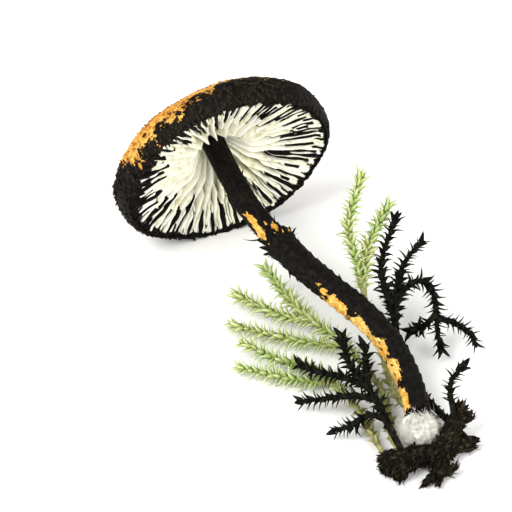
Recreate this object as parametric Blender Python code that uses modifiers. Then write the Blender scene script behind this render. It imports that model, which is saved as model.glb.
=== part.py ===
"""A gilled mushroom with an inky margin, picked with its moss and lying on its side.

The cap leans on its rim, the curved stem runs down to a felted foot, and the foot sits in a clump of
dead moss on the same surface. Leafy moss shoots grow out of that clump, on both sides of the stem.
Metres, +Z up. X runs from the cap to the foot, and Z = 0 is the surface that it lies on. The pieces
are laid out from a point under the cap's rim, and moved at the end so that their middle is over the origin.
"""

import math
import random

import bmesh
import bpy
import numpy as np
from mathutils import Matrix, Vector, geometry, noise

MM = 0.001
GAP = 0.3 * MM

# The cap, in its own frame: Z is its axis, with the crown up and the gills' outer ends at Z = 0
CAP_RADIUS = 24.6 * MM
CAP_HEIGHT = 12.5 * MM
WIDEST_AT = 3.6 * MM
LIP_RADIUS = 23.5 * MM
LIP_DROP = 0.7 * MM
FLESH_RADIUS = 22.5 * MM
FLESH_HEIGHT = 8.2 * MM
FLESH_AT_LIP = 1 * MM
CAP_SECTORS = 60
CAP_RINGS = 10
SCALE_HEIGHT = 0.8 * MM
SHRED_LENGTH = 1.2 * MM

# How the cap lies: the centre of its rim, the lean of its axis from upright, and its turn about Z
RIM_CENTRE = Vector((2.6, 0.4, 22.3)) * MM
CAP_LEAN = math.radians(-72.2)
CAP_TURN = math.radians(-3)

# The gills, which hang from a thin roof under the flesh
GILL_COUNT = 92
GILL_THICKNESS = 0.7 * MM
GILL_ROOF = 0.8 * MM
GILL_OUTER_RADIUS = 22.1 * MM
GILL_EDGE_HEIGHT = 3.7 * MM
GILL_EDGE_FALL = 4.2 * MM
GILL_STARTS = {"full": 3.6 * MM, "half": 10 * MM, "short": 15.5 * MM}

# The stem, whose upper end stands in the cap's flesh; its route starts at the centre of the rim
STEM_ROUTE = (
    (2.6, 0.4, 22.3), (12, 0.3, 19.5), (20, 0.9, 18.1), (28, 2, 17), (36, 3.4, 16.1), (44, 5.8, 14.9),
    (52, 8.6, 13), (59, 10, 11), (66.5, 9.8, 8.8), (73, 8.6, 7), (80.5, 6.2, 4.9),
)
STEM_SOCKET = 7.4 * MM
STEM_RADIUS = 2.6 * MM
SHEATH_RADIUS = 3 * MM
RING_AT = 30.5 * MM
RING_RADIUS = 4.2 * MM
STEM_SECTORS = 14
SHEATH_STEP = 2.4 * MM
SHEATH_SCALE = 0.55 * MM

# The white felt round the stem's foot
FOOT_CENTRE = Vector((79.8, 6.6, 5)) * MM
FOOT_SIZE = Vector((4.4, 4.2, 4.3)) * MM

# The clump of dead moss: a matted core along Y, with stubs of old shoots, in millimetres
CORE_ROUTE = ((84.4, -4.8, 2.1), (85.8, 1, 2.2), (86.6, 8, 2.3), (86.6, 14.8, 2.1))
CORE_RADIUS = 3 * MM
STUBS = (
    (2.1, (86.5, 8, 3.4), (84, 13, 5.2), (81.5, 16, 7.2)),
    (1.7, (86, 10, 3.4), (84, 14, 4.8), (83.4, 16.4, 5)),
    (2.2, (86, 2, 2.6), (87.2, -0.8, 2.3), (88.8, -3.3, 1.9)),
    (2.1, (87, 8, 2.6), (89, 6, 2.2), (90.5, 4, 1.8)),
    (1.1, (89.5, 5.5, 2), (91.8, 2.6, 1.4), (92.8, 1, 1.2)),
    (1.2, (89.8, 6.4, 2), (92, 4.2, 1.4), (94, 2.2, 1.1)),
    (1, (90.6, 5.6, 1.5), (92.2, 5.6, 1.6), (92.2, 7, 2.6)),
)

# The moss shoots: for each one its branches, as (leafy or bare, route in millimetres)
LEAFY, BARE = True, False
MOSS_DARK = {
    "moss_dark_back": (
        (BARE, ((87, 14, 3), (79, 13.6, 2.6), (68, 13, 3), (58, 14.4, 4.6), (50, 16.4, 7.2))),
        (LEAFY, ((52, 15.9, 6.4), (47, 17.6, 8.3), (41, 18.8, 10.5), (36.5, 20.6, 13), (31, 27, 19))),
        (LEAFY, ((52, 15.9, 6.4), (45, 19.5, 9), (41, 22.6, 10.8), (38.5, 25.5, 13), (37.5, 30, 16))),
        (LEAFY, ((49.5, 16.6, 7.4), (45, 20.5, 9.5), (46, 24, 13), (49, 25.8, 13), (52, 25.6, 9),
                 (54.5, 24.6, 5.6), (58.5, 23.5, 3))),
        (LEAFY, ((53, 25.2, 7.6), (55.5, 28, 7), (58, 30.6, 5), (60, 31, 3.2))),
        (LEAFY, ((52.5, 25.4, 8.4), (54, 22, 7.6), (55.4, 17.4, 8.4))),
    ),
    "moss_dark_front": (
        (BARE, ((87, -0.6, 3.2), (82, 0, 3.8), (75, 0.8, 4.8))),
        (LEAFY, ((77.5, 0.5, 4.4), (70, 1.4, 6), (63.5, 1.5, 6.8), (58, 1.2, 7.8), (51.5, 3, 9.2))),
        (LEAFY, ((65.5, 1.5, 6.6), (60.5, -1.5, 6.6), (56, -5, 6), (51.5, -7, 5.4))),
        (LEAFY, ((69.5, 1.4, 6), (65.5, -2, 5.4), (63, -7, 4.6), (60.5, -11, 3.6))),
        (LEAFY, ((75, 0.9, 5), (72, -1.6, 4.8), (72.6, -5.6, 4), (71.6, -9, 3.2))),
        (LEAFY, ((66, 1.5, 6.6), (62, 3.4, 8.8), (58.5, 4.6, 11))),
    ),
    "moss_dark_small": (
        (LEAFY, ((87, 10, 4), (84, 12, 6.8), (80.4, 13.2, 9.6), (78, 14.4, 12.2), (78, 17, 15.2))),
    ),
}
MOSS_GREEN = {
    "moss_green_back": (
        (BARE, ((87.4, 11.6, 1.8), (79, 11.6, 1.4), (68, 8.4, 1.6), (57, 10.6, 2.4), (48, 13.4, 6), (42, 13, 11))),
        (LEAFY, ((43, 13, 10.2), (38, 14, 15), (30, 16, 20), (22, 23, 25))),
        (LEAFY, ((43, 13, 10.2), (38.5, 15.5, 12.6), (33, 19, 14.6), (25.5, 28, 18))),
    ),
    "moss_green_upper": (
        (BARE, ((87, 2.2, 1.5), (79, 0.8, 1.3), (72, 3.4, 1.8), (64, 6, 2.8), (54, 5.6, 4))),
        (LEAFY, ((56, 5.7, 3.8), (47, 5, 4.6), (38, 2, 5.4), (29, 1.2, 6), (21, 0.6, 7.4))),
        (LEAFY, ((41, 3, 5.2), (32, -2.6, 4), (22, -7, 3.6))),
        (LEAFY, ((50, 5.2, 4.2), (41, -2.5, 3), (30, -12, 2.7))),
    ),
    "moss_green_lower": (
        (BARE, ((86.6, -3.3, 2.2), (79, -2.8, 1.8), (68, -1, 1.6), (60, -1, 2.2))),
        (LEAFY, ((62, -1, 2), (53, -2.6, 2.8), (46, -8.6, 3.2), (38, -13.4, 4))),
        (LEAFY, ((57, -1.8, 2.5), (53, -8, 2.7), (44, -17, 2.8))),
    ),
}
SHOOT_RADIUS = 0.62 * MM
SHOOT_SECTORS = 6
LEAF_STEP = 1.5 * MM
LEAF_REACH = 1.75 * MM
LEAF_LEAN = 1.5 * MM
SOCKET_LENGTH = 9 * MM

FLOOR_BOX = (Vector((40, 0, -20)) * MM, Vector((200, 160, 40)) * MM)


def clear_scene():
    for obj in list(bpy.data.objects):
        bpy.data.objects.remove(obj)


def new_collection(name):
    collection = bpy.data.collections.new(name)
    bpy.context.scene.collection.children.link(collection)
    return collection


def new_material(name, colour, roughness):
    material = bpy.data.materials.new(name)
    material.use_nodes = True
    shader = material.node_tree.nodes["Principled BSDF"]
    shader.inputs["Base Color"].default_value = (*colour, 1)
    shader.inputs["Roughness"].default_value = roughness
    shader.inputs["Metallic"].default_value = 0
    return material


def new_object(name, mesh, collection):
    obj = bpy.data.objects.new(name, mesh)
    collection.objects.link(obj)
    return obj


def evaluated_mesh(obj):
    bpy.context.view_layer.update()
    return bpy.data.meshes.new_from_object(obj.evaluated_get(bpy.context.evaluated_depsgraph_get()))


def apply_modifiers(obj):
    mesh = evaluated_mesh(obj)
    obj.modifiers.clear()
    obj.data = mesh


def turned(name, profile, sectors):
    """A body of revolution about Z, from (radius, height) points that run down its outer side."""
    mesh = bpy.data.meshes.new(name)
    edges = [(i, i + 1) for i in range(len(profile) - 1)]
    mesh.from_pydata([(radius, 0, height) for radius, height in profile], edges, [])
    obj = new_object(name, mesh, workshop)
    screw = obj.modifiers.new("turn", "SCREW")
    screw.steps = screw.render_steps = sectors
    screw.use_merge_vertices = True
    screw.merge_threshold = 0.01 * MM
    apply_modifiers(obj)
    return obj


def ring_and_sector(face, profile, sectors):
    """Which stretch of the profile a turned face belongs to, and which sector."""
    x, y, height = face.calc_center_median()
    sector = int(math.atan2(y, x) / math.tau % 1 * sectors)
    radius = math.hypot(x, y)

    def distance(i):
        (radius_a, height_a), (radius_b, height_b) = profile[i], profile[i + 1]
        return math.hypot((radius_a + radius_b) / 2 - radius, (height_a + height_b) / 2 - height)

    return min(range(len(profile) - 1), key=distance), sector


def raise_points(obj, chosen, outward, lean):
    """Draws the chosen four-sided faces out into pointed scales or leaves, leaning along the body.

    chosen takes a face and returns how large its point is, from 0 for none; lean is how far the point
    slides down the profile, or up it where lean is negative.
    """
    body = bmesh.new()
    body.from_mesh(obj.data)
    sizes = [(face, chosen(face)) for face in body.faces if len(face.verts) == 4]
    for face, size in [pair for pair in sizes if pair[1] > 0]:
        around = Vector((0, 0, 1)).cross(face.calc_center_median()).normalized()
        down = face.normal.cross(around)
        tip = face.calc_center_median() + size * (face.normal * outward - down * lean)
        point = bmesh.ops.poke(body, faces=[face])["verts"][0]
        point.co = tip
    body.to_mesh(obj.data)
    body.free()


def smooth_route(points, step=0.5 * MM):
    """Points a step apart along a smooth curve through the route's own points."""
    points = [Vector(p) for p in points]
    ends = [2 * points[0] - points[1], *points, 2 * points[-1] - points[-2]]
    curve = []
    for before, start, end, after in zip(ends, ends[1:], ends[2:], ends[3:]):
        handle = (end - start).length / 3
        pieces = geometry.interpolate_bezier(
            start, start + (end - before).normalized() * handle,
            end - (after - start).normalized() * handle, end, 24,
        )
        curve += pieces[:-1]
    curve.append(points[-1])
    curve = np.array(curve)
    run = np.concatenate([[0], np.cumsum(np.linalg.norm(np.diff(curve, axis=0), axis=1))])
    stations = np.linspace(0, run[-1], max(2, round(run[-1] / step) + 1))
    return np.stack([np.interp(stations, run, curve[:, i]) for i in range(3)], axis=1), run[-1]


def bend_along(obj, path, length):
    """Lays a straight body, with its foot at Z = 0, along a path of that length."""
    tangents = np.gradient(path, axis=0)
    tangents /= np.linalg.norm(tangents, axis=1)[:, None]
    side = Vector((0, 1, 0.01)).cross(Vector(tangents[0])).normalized()
    frames = []
    for tangent in map(Vector, tangents):
        side = (side - tangent * side.dot(tangent)).normalized()
        frames.append((side, tangent.cross(side), tangent))
    for vertex in obj.data.vertices:
        at = min(max(vertex.co.z / length, 0), 1) * (len(path) - 1)
        i = min(int(at), len(path) - 2)
        centre = Vector(path[i]).lerp(Vector(path[i + 1]), at - i)
        across, up, along = (a.lerp(b, at - i) for a, b in zip(frames[i], frames[i + 1]))
        past = vertex.co.z - min(max(vertex.co.z, 0), length)
        vertex.co = centre + across * vertex.co.x + up * vertex.co.y + along * past


def ball(name, centre, size, subdivisions):
    body = bmesh.new()
    bmesh.ops.create_icosphere(body, subdivisions=subdivisions, radius=1)
    mesh = bpy.data.meshes.new(name)
    body.to_mesh(mesh)
    body.free()
    mesh.transform(Matrix.LocRotScale(centre, None, size))
    return new_object(name, mesh, workshop)


def box(name, centre, size):
    body = bmesh.new()
    bmesh.ops.create_cube(body, size=1)
    mesh = bpy.data.meshes.new(name)
    body.to_mesh(mesh)
    body.free()
    mesh.transform(Matrix.LocRotScale(centre, None, size))
    return new_object(name, mesh, workshop)


def boolean(obj, others, operation):
    """Joins the others to the body, or cuts them out of it, and removes them."""
    group = new_collection(obj.name + " operands")
    for other in others:
        workshop.objects.unlink(other)
        group.objects.link(other)
    modifier = obj.modifiers.new(operation.lower(), "BOOLEAN")
    modifier.operation = operation
    modifier.operand_type = "COLLECTION"
    modifier.collection = group
    modifier.solver = "EXACT"
    apply_modifiers(obj)
    for other in others:
        bpy.data.objects.remove(other)
    bpy.data.collections.remove(group)


def cut_at_the_surface(obj):
    """A flat spot where the body lies: nothing goes below Z = 0."""
    if min(vertex.co.z for vertex in obj.data.vertices) < 0:
        boolean(obj, [box("surface", *FLOOR_BOX)], "DIFFERENCE")


def finish(obj, name, material):
    """Names the node, gives it its one material and moves it among the mushroom's pieces."""
    obj.name = name
    obj.data.name = name
    obj.data.materials.clear()
    obj.data.materials.append(material)
    workshop.objects.unlink(obj)
    mushroom.objects.link(obj)
    obj.data.shade_smooth()
    obj.data.set_sharp_from_angle(angle=math.radians(35))
    return obj


# The cap: a thick dome of flesh with a shaggy skin and an in-rolled, torn lip
def flesh_height(radius):
    """The underside of the flesh, which the gill roof hangs under."""
    return FLESH_HEIGHT * (1 - (radius / FLESH_RADIUS) ** 2.6) + FLESH_AT_LIP


def lay_cap(obj):
    """From the cap's own frame to where the cap lies."""
    turn = Matrix.Rotation(CAP_TURN, 3, "Z") @ Matrix.Rotation(CAP_LEAN, 3, "Y")
    obj.data.transform(Matrix.LocRotScale(RIM_CENTRE, turn, None))


def build_cap():
    angles = [math.pi / 2 * (i / CAP_RINGS) ** 0.85 for i in range(CAP_RINGS + 1)]
    crown = CAP_HEIGHT - WIDEST_AT
    outer = [(CAP_RADIUS * math.sin(a), WIDEST_AT + crown * math.cos(a)) for a in angles]
    roll = [math.radians(a) for a in (35, 65, 90)]
    inroll = CAP_RADIUS - LIP_RADIUS
    outer += [(CAP_RADIUS - inroll * (1 - math.cos(a)), WIDEST_AT * (1 - math.sin(a))) for a in roll]
    lip = [(LIP_RADIUS - 0.2 * MM, -LIP_DROP), (FLESH_RADIUS + 0.2 * MM, -LIP_DROP)]
    inner = [(r * FLESH_RADIUS, flesh_height(r * FLESH_RADIUS)) for r in (1, 0.92, 0.78, 0.55, 0.3, 0)]
    profile = outer + lip + inner
    obj = turned("cap", profile, CAP_SECTORS)
    draw = random.Random(11)
    shred_ring = len(outer)

    def scale(face):
        ring, sector = ring_and_sector(face, profile, CAP_SECTORS)
        if 1 <= ring < len(outer) - 2 and (ring + sector) % 2:
            return draw.uniform(0.6, 1.2)
        return 0

    def shred(face):
        ring, sector = ring_and_sector(face, profile, CAP_SECTORS)
        return draw.uniform(0.3, 1) if ring == shred_ring and sector % 2 else 0

    for vertex in obj.data.vertices:
        lobe(vertex)
    raise_points(obj, scale, SCALE_HEIGHT, 1.3 * MM)
    raise_points(obj, shred, SHRED_LENGTH, 0.4 * MM)
    lay_cap(obj)
    cut_at_the_surface(obj)
    return finish(obj, "cap", new_material("inky cap skin", (0.05, 0.035, 0.02), 0.6))


def lobe(vertex):
    """The margin is a little lobed and the skin uneven, while the underside stays true."""
    x, y, z = vertex.co
    radius = math.hypot(x, y)
    if radius < 0.3 * CAP_RADIUS or z < flesh_height(min(radius, FLESH_RADIUS)) + 0.5 * MM:
        return
    angle = math.atan2(y, x)
    share = (radius / CAP_RADIUS) ** 2
    swell = 0.35 * math.sin(3 * angle + 1) + 0.25 * math.sin(5 * angle) + 0.2 * math.sin(8 * angle + 2)
    vertex.co = Vector((x, y, z)) + Vector((x, y, 0)).normalized() * swell * share * MM


# The gills: a thin roof that follows the flesh, with full, half and short gills hanging from it
def edge_height(radius):
    """The gills' free edges, from near the stem out to the lip."""
    return GILL_EDGE_HEIGHT - GILL_EDGE_FALL * (radius / CAP_RADIUS) ** 1.6


def roof_height(radius):
    return flesh_height(radius) - GAP - GILL_ROOF


def gill(start):
    """One gill as a flat outline in the plane of X and Z, from that radius out to the lip."""
    roots = np.linspace(start, GILL_OUTER_RADIUS, 3 + round((GILL_OUTER_RADIUS - start) / (9 * MM)))
    sunk = 0.4 * MM
    top = [(r, roof_height(r) + sunk) for r in roots[::-1]]
    free = [(r, min(edge_height(r), roof_height(r) - 0.1 * MM)) for r in roots]
    free[0] = (start + 0.4 * MM, edge_height(start) + 0.4 * MM)
    curve = bpy.data.curves.new("gill", "CURVE")
    curve.dimensions = "2D"
    curve.fill_mode = "BOTH"
    curve.extrude = GILL_THICKNESS / 2
    spline = curve.splines.new("POLY")
    outline = free + top
    spline.points.add(len(outline) - 1)
    for point, (radius, height) in zip(spline.points, outline):
        point.co = (radius, height, 0, 1)
    spline.use_cyclic_u = True
    obj = new_object("gill", curve, workshop)
    mesh = evaluated_mesh(obj)
    bpy.data.objects.remove(obj)
    mesh.transform(Matrix.Rotation(math.pi / 2, 4, "X"))
    return mesh


def build_gills():
    rings = [r * GILL_OUTER_RADIUS for r in (0.14, 0.45, 0.7, 0.88, 1)]
    over = [(r, flesh_height(r) - GAP) for r in rings]
    under = [(r, roof_height(r)) for r in rings[::-1]]
    roof = turned("roof", over + under + over[:1], GILL_COUNT // 2)
    kinds = {kind: gill(start) for kind, start in GILL_STARTS.items()}
    draw = random.Random(5)
    blades = bmesh.new()
    for i in range(GILL_COUNT):
        kind = "full" if i % 4 == 0 else "half" if i % 4 == 2 else "short"
        mesh = kinds[kind].copy()
        turn = math.tau * (i + 0.5 + draw.uniform(-0.06, 0.06)) / GILL_COUNT
        mesh.transform(Matrix.Rotation(turn, 4, "Z"))
        blades.from_mesh(mesh)
    bmesh.ops.remove_doubles(blades, verts=blades.verts, dist=0.002 * MM)
    bmesh.ops.recalc_face_normals(blades, faces=blades.faces)
    mesh = bpy.data.meshes.new("blades")
    blades.to_mesh(mesh)
    blades.free()
    boolean(roof, [new_object("blades", mesh, workshop)], "UNION")
    lay_cap(roof)
    return finish(roof, "gills", new_material("pale gills", (0.85, 0.8, 0.62), 0.7))


# The stem: slender above, and sheathed below a torn ring in scales that point up to the cap
def build_stem():
    axis = Matrix.Rotation(CAP_TURN, 3, "Z") @ Matrix.Rotation(CAP_LEAN, 3, "Y") @ Vector((0, 0, 1))
    top = RIM_CENTRE + axis * STEM_SOCKET
    path, length = smooth_route([top, *(Vector(p) * MM for p in STEM_ROUTE)])
    upper = [(STEM_RADIUS, s * MM) for s in (0.5, 8, 13, 18, 23, 27)]
    ring = [
        (STEM_RADIUS, RING_AT), (RING_RADIUS - 0.5 * MM, RING_AT - 2 * MM),
        (RING_RADIUS, RING_AT - 1.6 * MM), (SHEATH_RADIUS + 0.3 * MM, RING_AT + 1.2 * MM),
    ]
    count = round((length - RING_AT - 4 * MM) / SHEATH_STEP)
    heights = np.linspace(RING_AT + 3.4 * MM, length - 1.5 * MM, count)
    sheath = [(SHEATH_RADIUS - 0.5 * MM * (i / count), s) for i, s in enumerate(heights)]
    foot_end = [(SHEATH_RADIUS - 1.4 * MM, length), (0, length)]
    profile = ([(0, 0), (STEM_RADIUS - 0.4 * MM, 0)] + upper + ring + sheath + foot_end)[::-1]
    obj = turned("stem", profile, STEM_SECTORS)
    tear_ring(obj)
    first, last = len(foot_end) + 2, len(foot_end) + len(sheath) - 2
    draw = random.Random(3)

    def scale(face):
        ring_index, sector = ring_and_sector(face, profile, STEM_SECTORS)
        if first <= ring_index <= last and (ring_index + sector) % 2:
            return draw.uniform(0.5, 1.2)
        return 0

    raise_points(obj, scale, SHEATH_SCALE, 1.1 * MM)
    bend_along(obj, path, length)
    return finish(obj, "stem", new_material("inky stem", (0.03, 0.022, 0.015), 0.65))


def tear_ring(obj):
    """Every second point of the ring's edge is torn back to the sheath, unevenly."""
    draw = random.Random(8)
    edge = {}
    for vertex in obj.data.vertices:
        radius = math.hypot(vertex.co.x, vertex.co.y)
        if radius < SHEATH_RADIUS + 0.4 * MM or abs(vertex.co.z - RING_AT + 1.8 * MM) > 0.5 * MM:
            continue
        sector = round(math.atan2(vertex.co.y, vertex.co.x) / math.tau * STEM_SECTORS) % STEM_SECTORS
        if sector not in edge:
            edge[sector] = draw.uniform(1, 2) * MM if sector % 2 else draw.uniform(-1.1, 0.2) * MM
        vertex.co.z += edge[sector]
        if edge[sector] < 0:
            vertex.co.x *= 1.1
            vertex.co.y *= 1.1


# The foot: white felt that wraps the stem's end, with a hole where the stem stands in it
def lumpy(obj, centre, amount, grain, seed):
    for vertex in obj.data.vertices:
        away = vertex.co - centre
        bump = noise.noise(vertex.co / grain + Vector((seed, 0, 0)))
        vertex.co += away.normalized() * bump * amount


def stem_cutter():
    """The stem's own lower end, grown by the gap that touching pieces keep."""
    path, length = smooth_route([Vector(p) * MM for p in STEM_ROUTE[-5:]])
    radius = SHEATH_RADIUS + SHEATH_SCALE * 1.2 + GAP
    profile = [(0, length + 0.5 * MM), (radius - 0.6 * MM, length + 0.5 * MM), (radius, length - MM)]
    profile += [(radius, length * share) for share in (0.8, 0.6, 0.4, 0.2)]
    cutter = turned("stem room", profile + [(radius, 0), (0, 0)], STEM_SECTORS)
    bend_along(cutter, path, length)
    return cutter


def build_foot():
    obj = ball("foot", FOOT_CENTRE, FOOT_SIZE, 3)
    lumpy(obj, FOOT_CENTRE, 0.8 * MM, 2.2 * MM, 4)
    boolean(obj, [stem_cutter()], "DIFFERENCE")
    cut_at_the_surface(obj)
    return finish(obj, "foot_felt", new_material("white felt", (0.8, 0.78, 0.7), 0.9))


# The clump: a matted core with stubs of old shoots, open where the foot and the shoots stand in it
def rod(name, route, radius, end_radius, sectors, step):
    """A round bent rod with a blunt end at its foot and a rounded one at its tip."""
    path, length = smooth_route([Vector(p) * MM for p in route])
    count = max(2, round(length / step))
    shares = [i / count for i in range(count + 1)]
    side = [(radius + (end_radius - radius) * share, length * share) for share in shares]
    tip = [(0.55 * end_radius, length + 0.6 * end_radius)]
    profile = [(0, length + 0.8 * end_radius), *tip, *side[::-1], (0, 0)]
    return turned(name, profile, sectors), profile, path, length


def build_clump(sockets):
    core, _, path, length = rod("core", CORE_ROUTE, CORE_RADIUS * 0.8, CORE_RADIUS * 0.75, 10, 2 * MM)
    bend_along(core, path, length)
    stubs = []
    for i, (radius, *route) in enumerate(STUBS):
        stub, _, path, length = rod("stub", route, radius * MM, radius * 0.8 * MM, 6, 2.4 * MM)
        bend_along(stub, path, length)
        lumpy(stub, Vector(path[0]), 0.4 * MM, 1.8 * MM, i)
        stubs.append(stub)
    lumpy(core, FOOT_CENTRE, 0.9 * MM, 3 * MM, 9)
    boolean(core, stubs, "UNION")
    room = ball("foot room", FOOT_CENTRE, FOOT_SIZE + Vector((1, 1, 1)) * (0.8 * MM + GAP), 3)
    boolean(core, [room, *sockets], "DIFFERENCE")
    cut_at_the_surface(core)
    return finish(core, "dead_moss_clump", new_material("dead moss", (0.04, 0.032, 0.022), 0.9))


# The moss: bare and leafy branches, joined into one body for each shoot
def branch(route, leafy, bare_foot, seed):
    radius = SHOOT_RADIUS if leafy else SHOOT_RADIUS * 1.1
    step = LEAF_STEP if leafy else 3 * MM
    obj, profile, path, length = rod("branch", route, radius, radius * 0.8, SHOOT_SECTORS, step)
    draw = random.Random(seed)
    bare = round(bare_foot / step) if leafy else len(profile)

    def leaf(face):
        ring, sector = ring_and_sector(face, profile, SHOOT_SECTORS)
        from_foot = len(profile) - 2 - ring
        if from_foot > bare and ring >= 1 and (ring + sector) % 2:
            return draw.uniform(0.75, 1.1)
        return 0

    raise_points(obj, leaf, LEAF_REACH, -LEAF_LEAN)
    bend_along(obj, path, length)
    return obj


def socket(route):
    """Room in the clump for a shoot's foot, so that the shoot stands in a plain hole."""
    path, length = smooth_route([Vector(p) * MM for p in route])
    inside = path[:round(len(path) * SOCKET_LENGTH / length)]
    depth = SOCKET_LENGTH * (len(inside) - 1) / len(inside)
    radius = SHOOT_RADIUS * 1.1 + GAP
    profile = [(0, depth)] + [(radius, depth * share) for share in (1, 0.8, 0.6, 0.4, 0.2)]
    cutter = turned("socket", profile + [(radius, -GAP), (0, -GAP)], 8)
    bend_along(cutter, inside, depth)
    return cutter


def build_moss(shoots, material):
    for number, (name, branches) in enumerate(shoots.items()):
        feet = [SOCKET_LENGTH + 0.5 * MM] + [2 * LEAF_STEP] * len(branches)
        bodies = [
            branch(route, leafy, feet[i], 10 * number + i) for i, (leafy, route) in enumerate(branches)
        ]
        main, *others = bodies
        if others:
            boolean(main, others, "UNION")
        cut_at_the_surface(main)
        finish(main, name, material)


def centre_over_origin():
    """Moves the whole, which already lies on Z = 0, so that its middle is over the origin."""
    corners = np.array([vertex.co for obj in mushroom.objects for vertex in obj.data.vertices])
    middle = (corners.min(axis=0) + corners.max(axis=0)) / 2
    for obj in mushroom.objects:
        obj.data.transform(Matrix.Translation((-middle[0], -middle[1], 0)))


clear_scene()
mushroom = new_collection("inky gilled mushroom")
workshop = new_collection("workshop")
build_cap()
build_gills()
build_stem()
build_foot()
all_shoots = {**MOSS_DARK, **MOSS_GREEN}
build_clump([socket(branches[0][1]) for branches in all_shoots.values()])
build_moss(MOSS_DARK, new_material("blackened moss", (0.02, 0.02, 0.015), 0.8))
build_moss(MOSS_GREEN, new_material("green moss", (0.36, 0.5, 0.16), 0.7))
centre_over_origin()
bpy.data.collections.remove(workshop)
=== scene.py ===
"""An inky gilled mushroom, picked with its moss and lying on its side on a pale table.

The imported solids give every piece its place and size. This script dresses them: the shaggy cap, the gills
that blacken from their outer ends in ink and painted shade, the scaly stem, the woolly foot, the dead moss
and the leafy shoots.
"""

import math

import bmesh
import bpy
import numpy as np
from mathutils import Matrix, Vector, geometry, noise


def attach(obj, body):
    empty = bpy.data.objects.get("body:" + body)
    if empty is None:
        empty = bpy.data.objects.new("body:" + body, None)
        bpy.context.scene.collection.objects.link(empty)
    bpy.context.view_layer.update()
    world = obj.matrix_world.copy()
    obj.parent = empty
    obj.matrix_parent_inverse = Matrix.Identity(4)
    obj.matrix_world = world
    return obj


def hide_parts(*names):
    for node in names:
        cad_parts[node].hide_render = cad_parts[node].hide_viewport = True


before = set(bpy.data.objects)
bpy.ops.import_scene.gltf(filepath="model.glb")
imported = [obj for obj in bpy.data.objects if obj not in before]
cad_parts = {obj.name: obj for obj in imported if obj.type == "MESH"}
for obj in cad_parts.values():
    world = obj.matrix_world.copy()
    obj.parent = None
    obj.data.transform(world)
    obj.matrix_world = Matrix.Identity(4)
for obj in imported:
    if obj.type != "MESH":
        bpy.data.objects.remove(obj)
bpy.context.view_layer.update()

# The pale table that the mushroom lies on, in soft window light from the upper left, filled from the
# right. The camera looks down along the stem at the gills. Pieces are laid out from the point on the table
# under the middle of the cap's rim.
MM = 0.001
UNDER_THE_RIM = Vector((-40.896, -3.829, 0)) * MM
TABLE_SIZE = 6.0
TABLE_WHITE = (0.93, 0.925, 0.91)
TABLE_SHADE = 0.985
CAMERA_FROM_RIM = Vector((567.2, -280.14, 478.82)) * MM

collection = bpy.context.scene.collection
bpy.context.scene.view_settings.view_transform = "Standard"


def add(tree, kind, inputs=None, **settings):
    """A shader node with its settings, its plain input values and its links from other sockets."""
    made = tree.nodes.new(kind)
    for name, value in settings.items():
        setattr(made, name, value)
    for name, value in (inputs or {}).items():
        if isinstance(value, bpy.types.NodeSocket):
            tree.links.new(value, made.inputs[name])
        else:
            made.inputs[name].default_value = value
    return made


def finish(name, base_colour, roughness, normal=None, **fixed):
    """A new material. Its colour, roughness and normal are each a value or a function that makes it."""
    material = bpy.data.materials.new(name)
    material.use_nodes = True
    tree = material.node_tree
    shader = tree.nodes["Principled BSDF"]
    for socket, make in (("Base Color", base_colour), ("Roughness", roughness), ("Normal", normal)):
        if callable(make):
            tree.links.new(make(tree), shader.inputs[socket])
        elif make is not None:
            shader.inputs[socket].default_value = make
    for socket, value in fixed.items():
        shader.inputs[socket.replace("_", " ")].default_value = value
    return material


def place_of(tree):
    return add(tree, "ShaderNodeTexCoord").outputs["Object"]


def mottle(tree, scale, detail=3.0, place=None):
    """Cloudy noise from 0 to 1, with so many patches to a metre."""
    inputs = {"Vector": place or place_of(tree), "Scale": scale, "Detail": detail}
    return add(tree, "ShaderNodeTexNoise", inputs).outputs["Fac"]


def ramp(tree, factor, *stops):
    """A colour ramp through (position, colour) stops."""
    made = add(tree, "ShaderNodeValToRGB", {"Fac": factor})
    elements = made.color_ramp.elements
    while len(elements) < len(stops):
        elements.new(0.5)
    for element, (position, colour) in zip(elements, stops):
        element.position = position
        element.color = (*colour, 1)
    return made.outputs["Color"]


def table_colour(tree):
    return ramp(tree, mottle(tree, 3), (0.3, [c * TABLE_SHADE for c in TABLE_WHITE]), (0.7, TABLE_WHITE))


table_mesh = bpy.data.meshes.new("table")
half = TABLE_SIZE / 2
corners = [(-half, -half, 0), (half, -half, 0), (half, half, 0), (-half, half, 0)]
table_mesh.from_pydata(corners, [], [(0, 1, 2, 3)])
table_mesh.materials.append(finish("matt white table", table_colour, 0.85))
table = bpy.data.objects.new("table", table_mesh)
collection.objects.link(table)


def soft_light(name, place, size, power):
    """A large soft light at a place, in metres, turned to the mushroom."""
    light = bpy.data.lights.new(name, "AREA")
    light.shape = "DISK"
    light.size = size
    light.energy = power
    lamp = bpy.data.objects.new(name, light)
    lamp.location = place
    lamp.rotation_euler = (-Vector(place)).to_track_quat("-Z", "Y").to_euler()
    collection.objects.link(lamp)


soft_light("window", (0.25, -0.8, 0.95), 0.7, 13)
soft_light("fill", (1.1, 0.25, 0.6), 0.9, 11)

world = bpy.data.worlds.new("soft daylight")
world.use_nodes = True
world.node_tree.nodes["Background"].inputs["Color"].default_value = (1, 0.995, 0.985, 1)
world.node_tree.nodes["Background"].inputs["Strength"].default_value = 0.78
bpy.context.scene.world = world

camera = bpy.data.objects.new("camera", bpy.data.cameras.new("camera"))
camera.data.lens = 250
camera.data.sensor_width = 36
camera.data.clip_start = 0.05
look_right = Vector((0.45399, 0.891007, 0))
look_back = Vector((0.708772, -0.361137, 0.605988))
look_up = look_back.cross(look_right)
axes = Matrix((look_right, look_up, look_back)).transposed().to_4x4()
camera.matrix_world = Matrix.Translation(UNDER_THE_RIM + CAMERA_FROM_RIM) @ axes
collection.objects.link(camera)
bpy.context.scene.camera = camera


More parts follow.
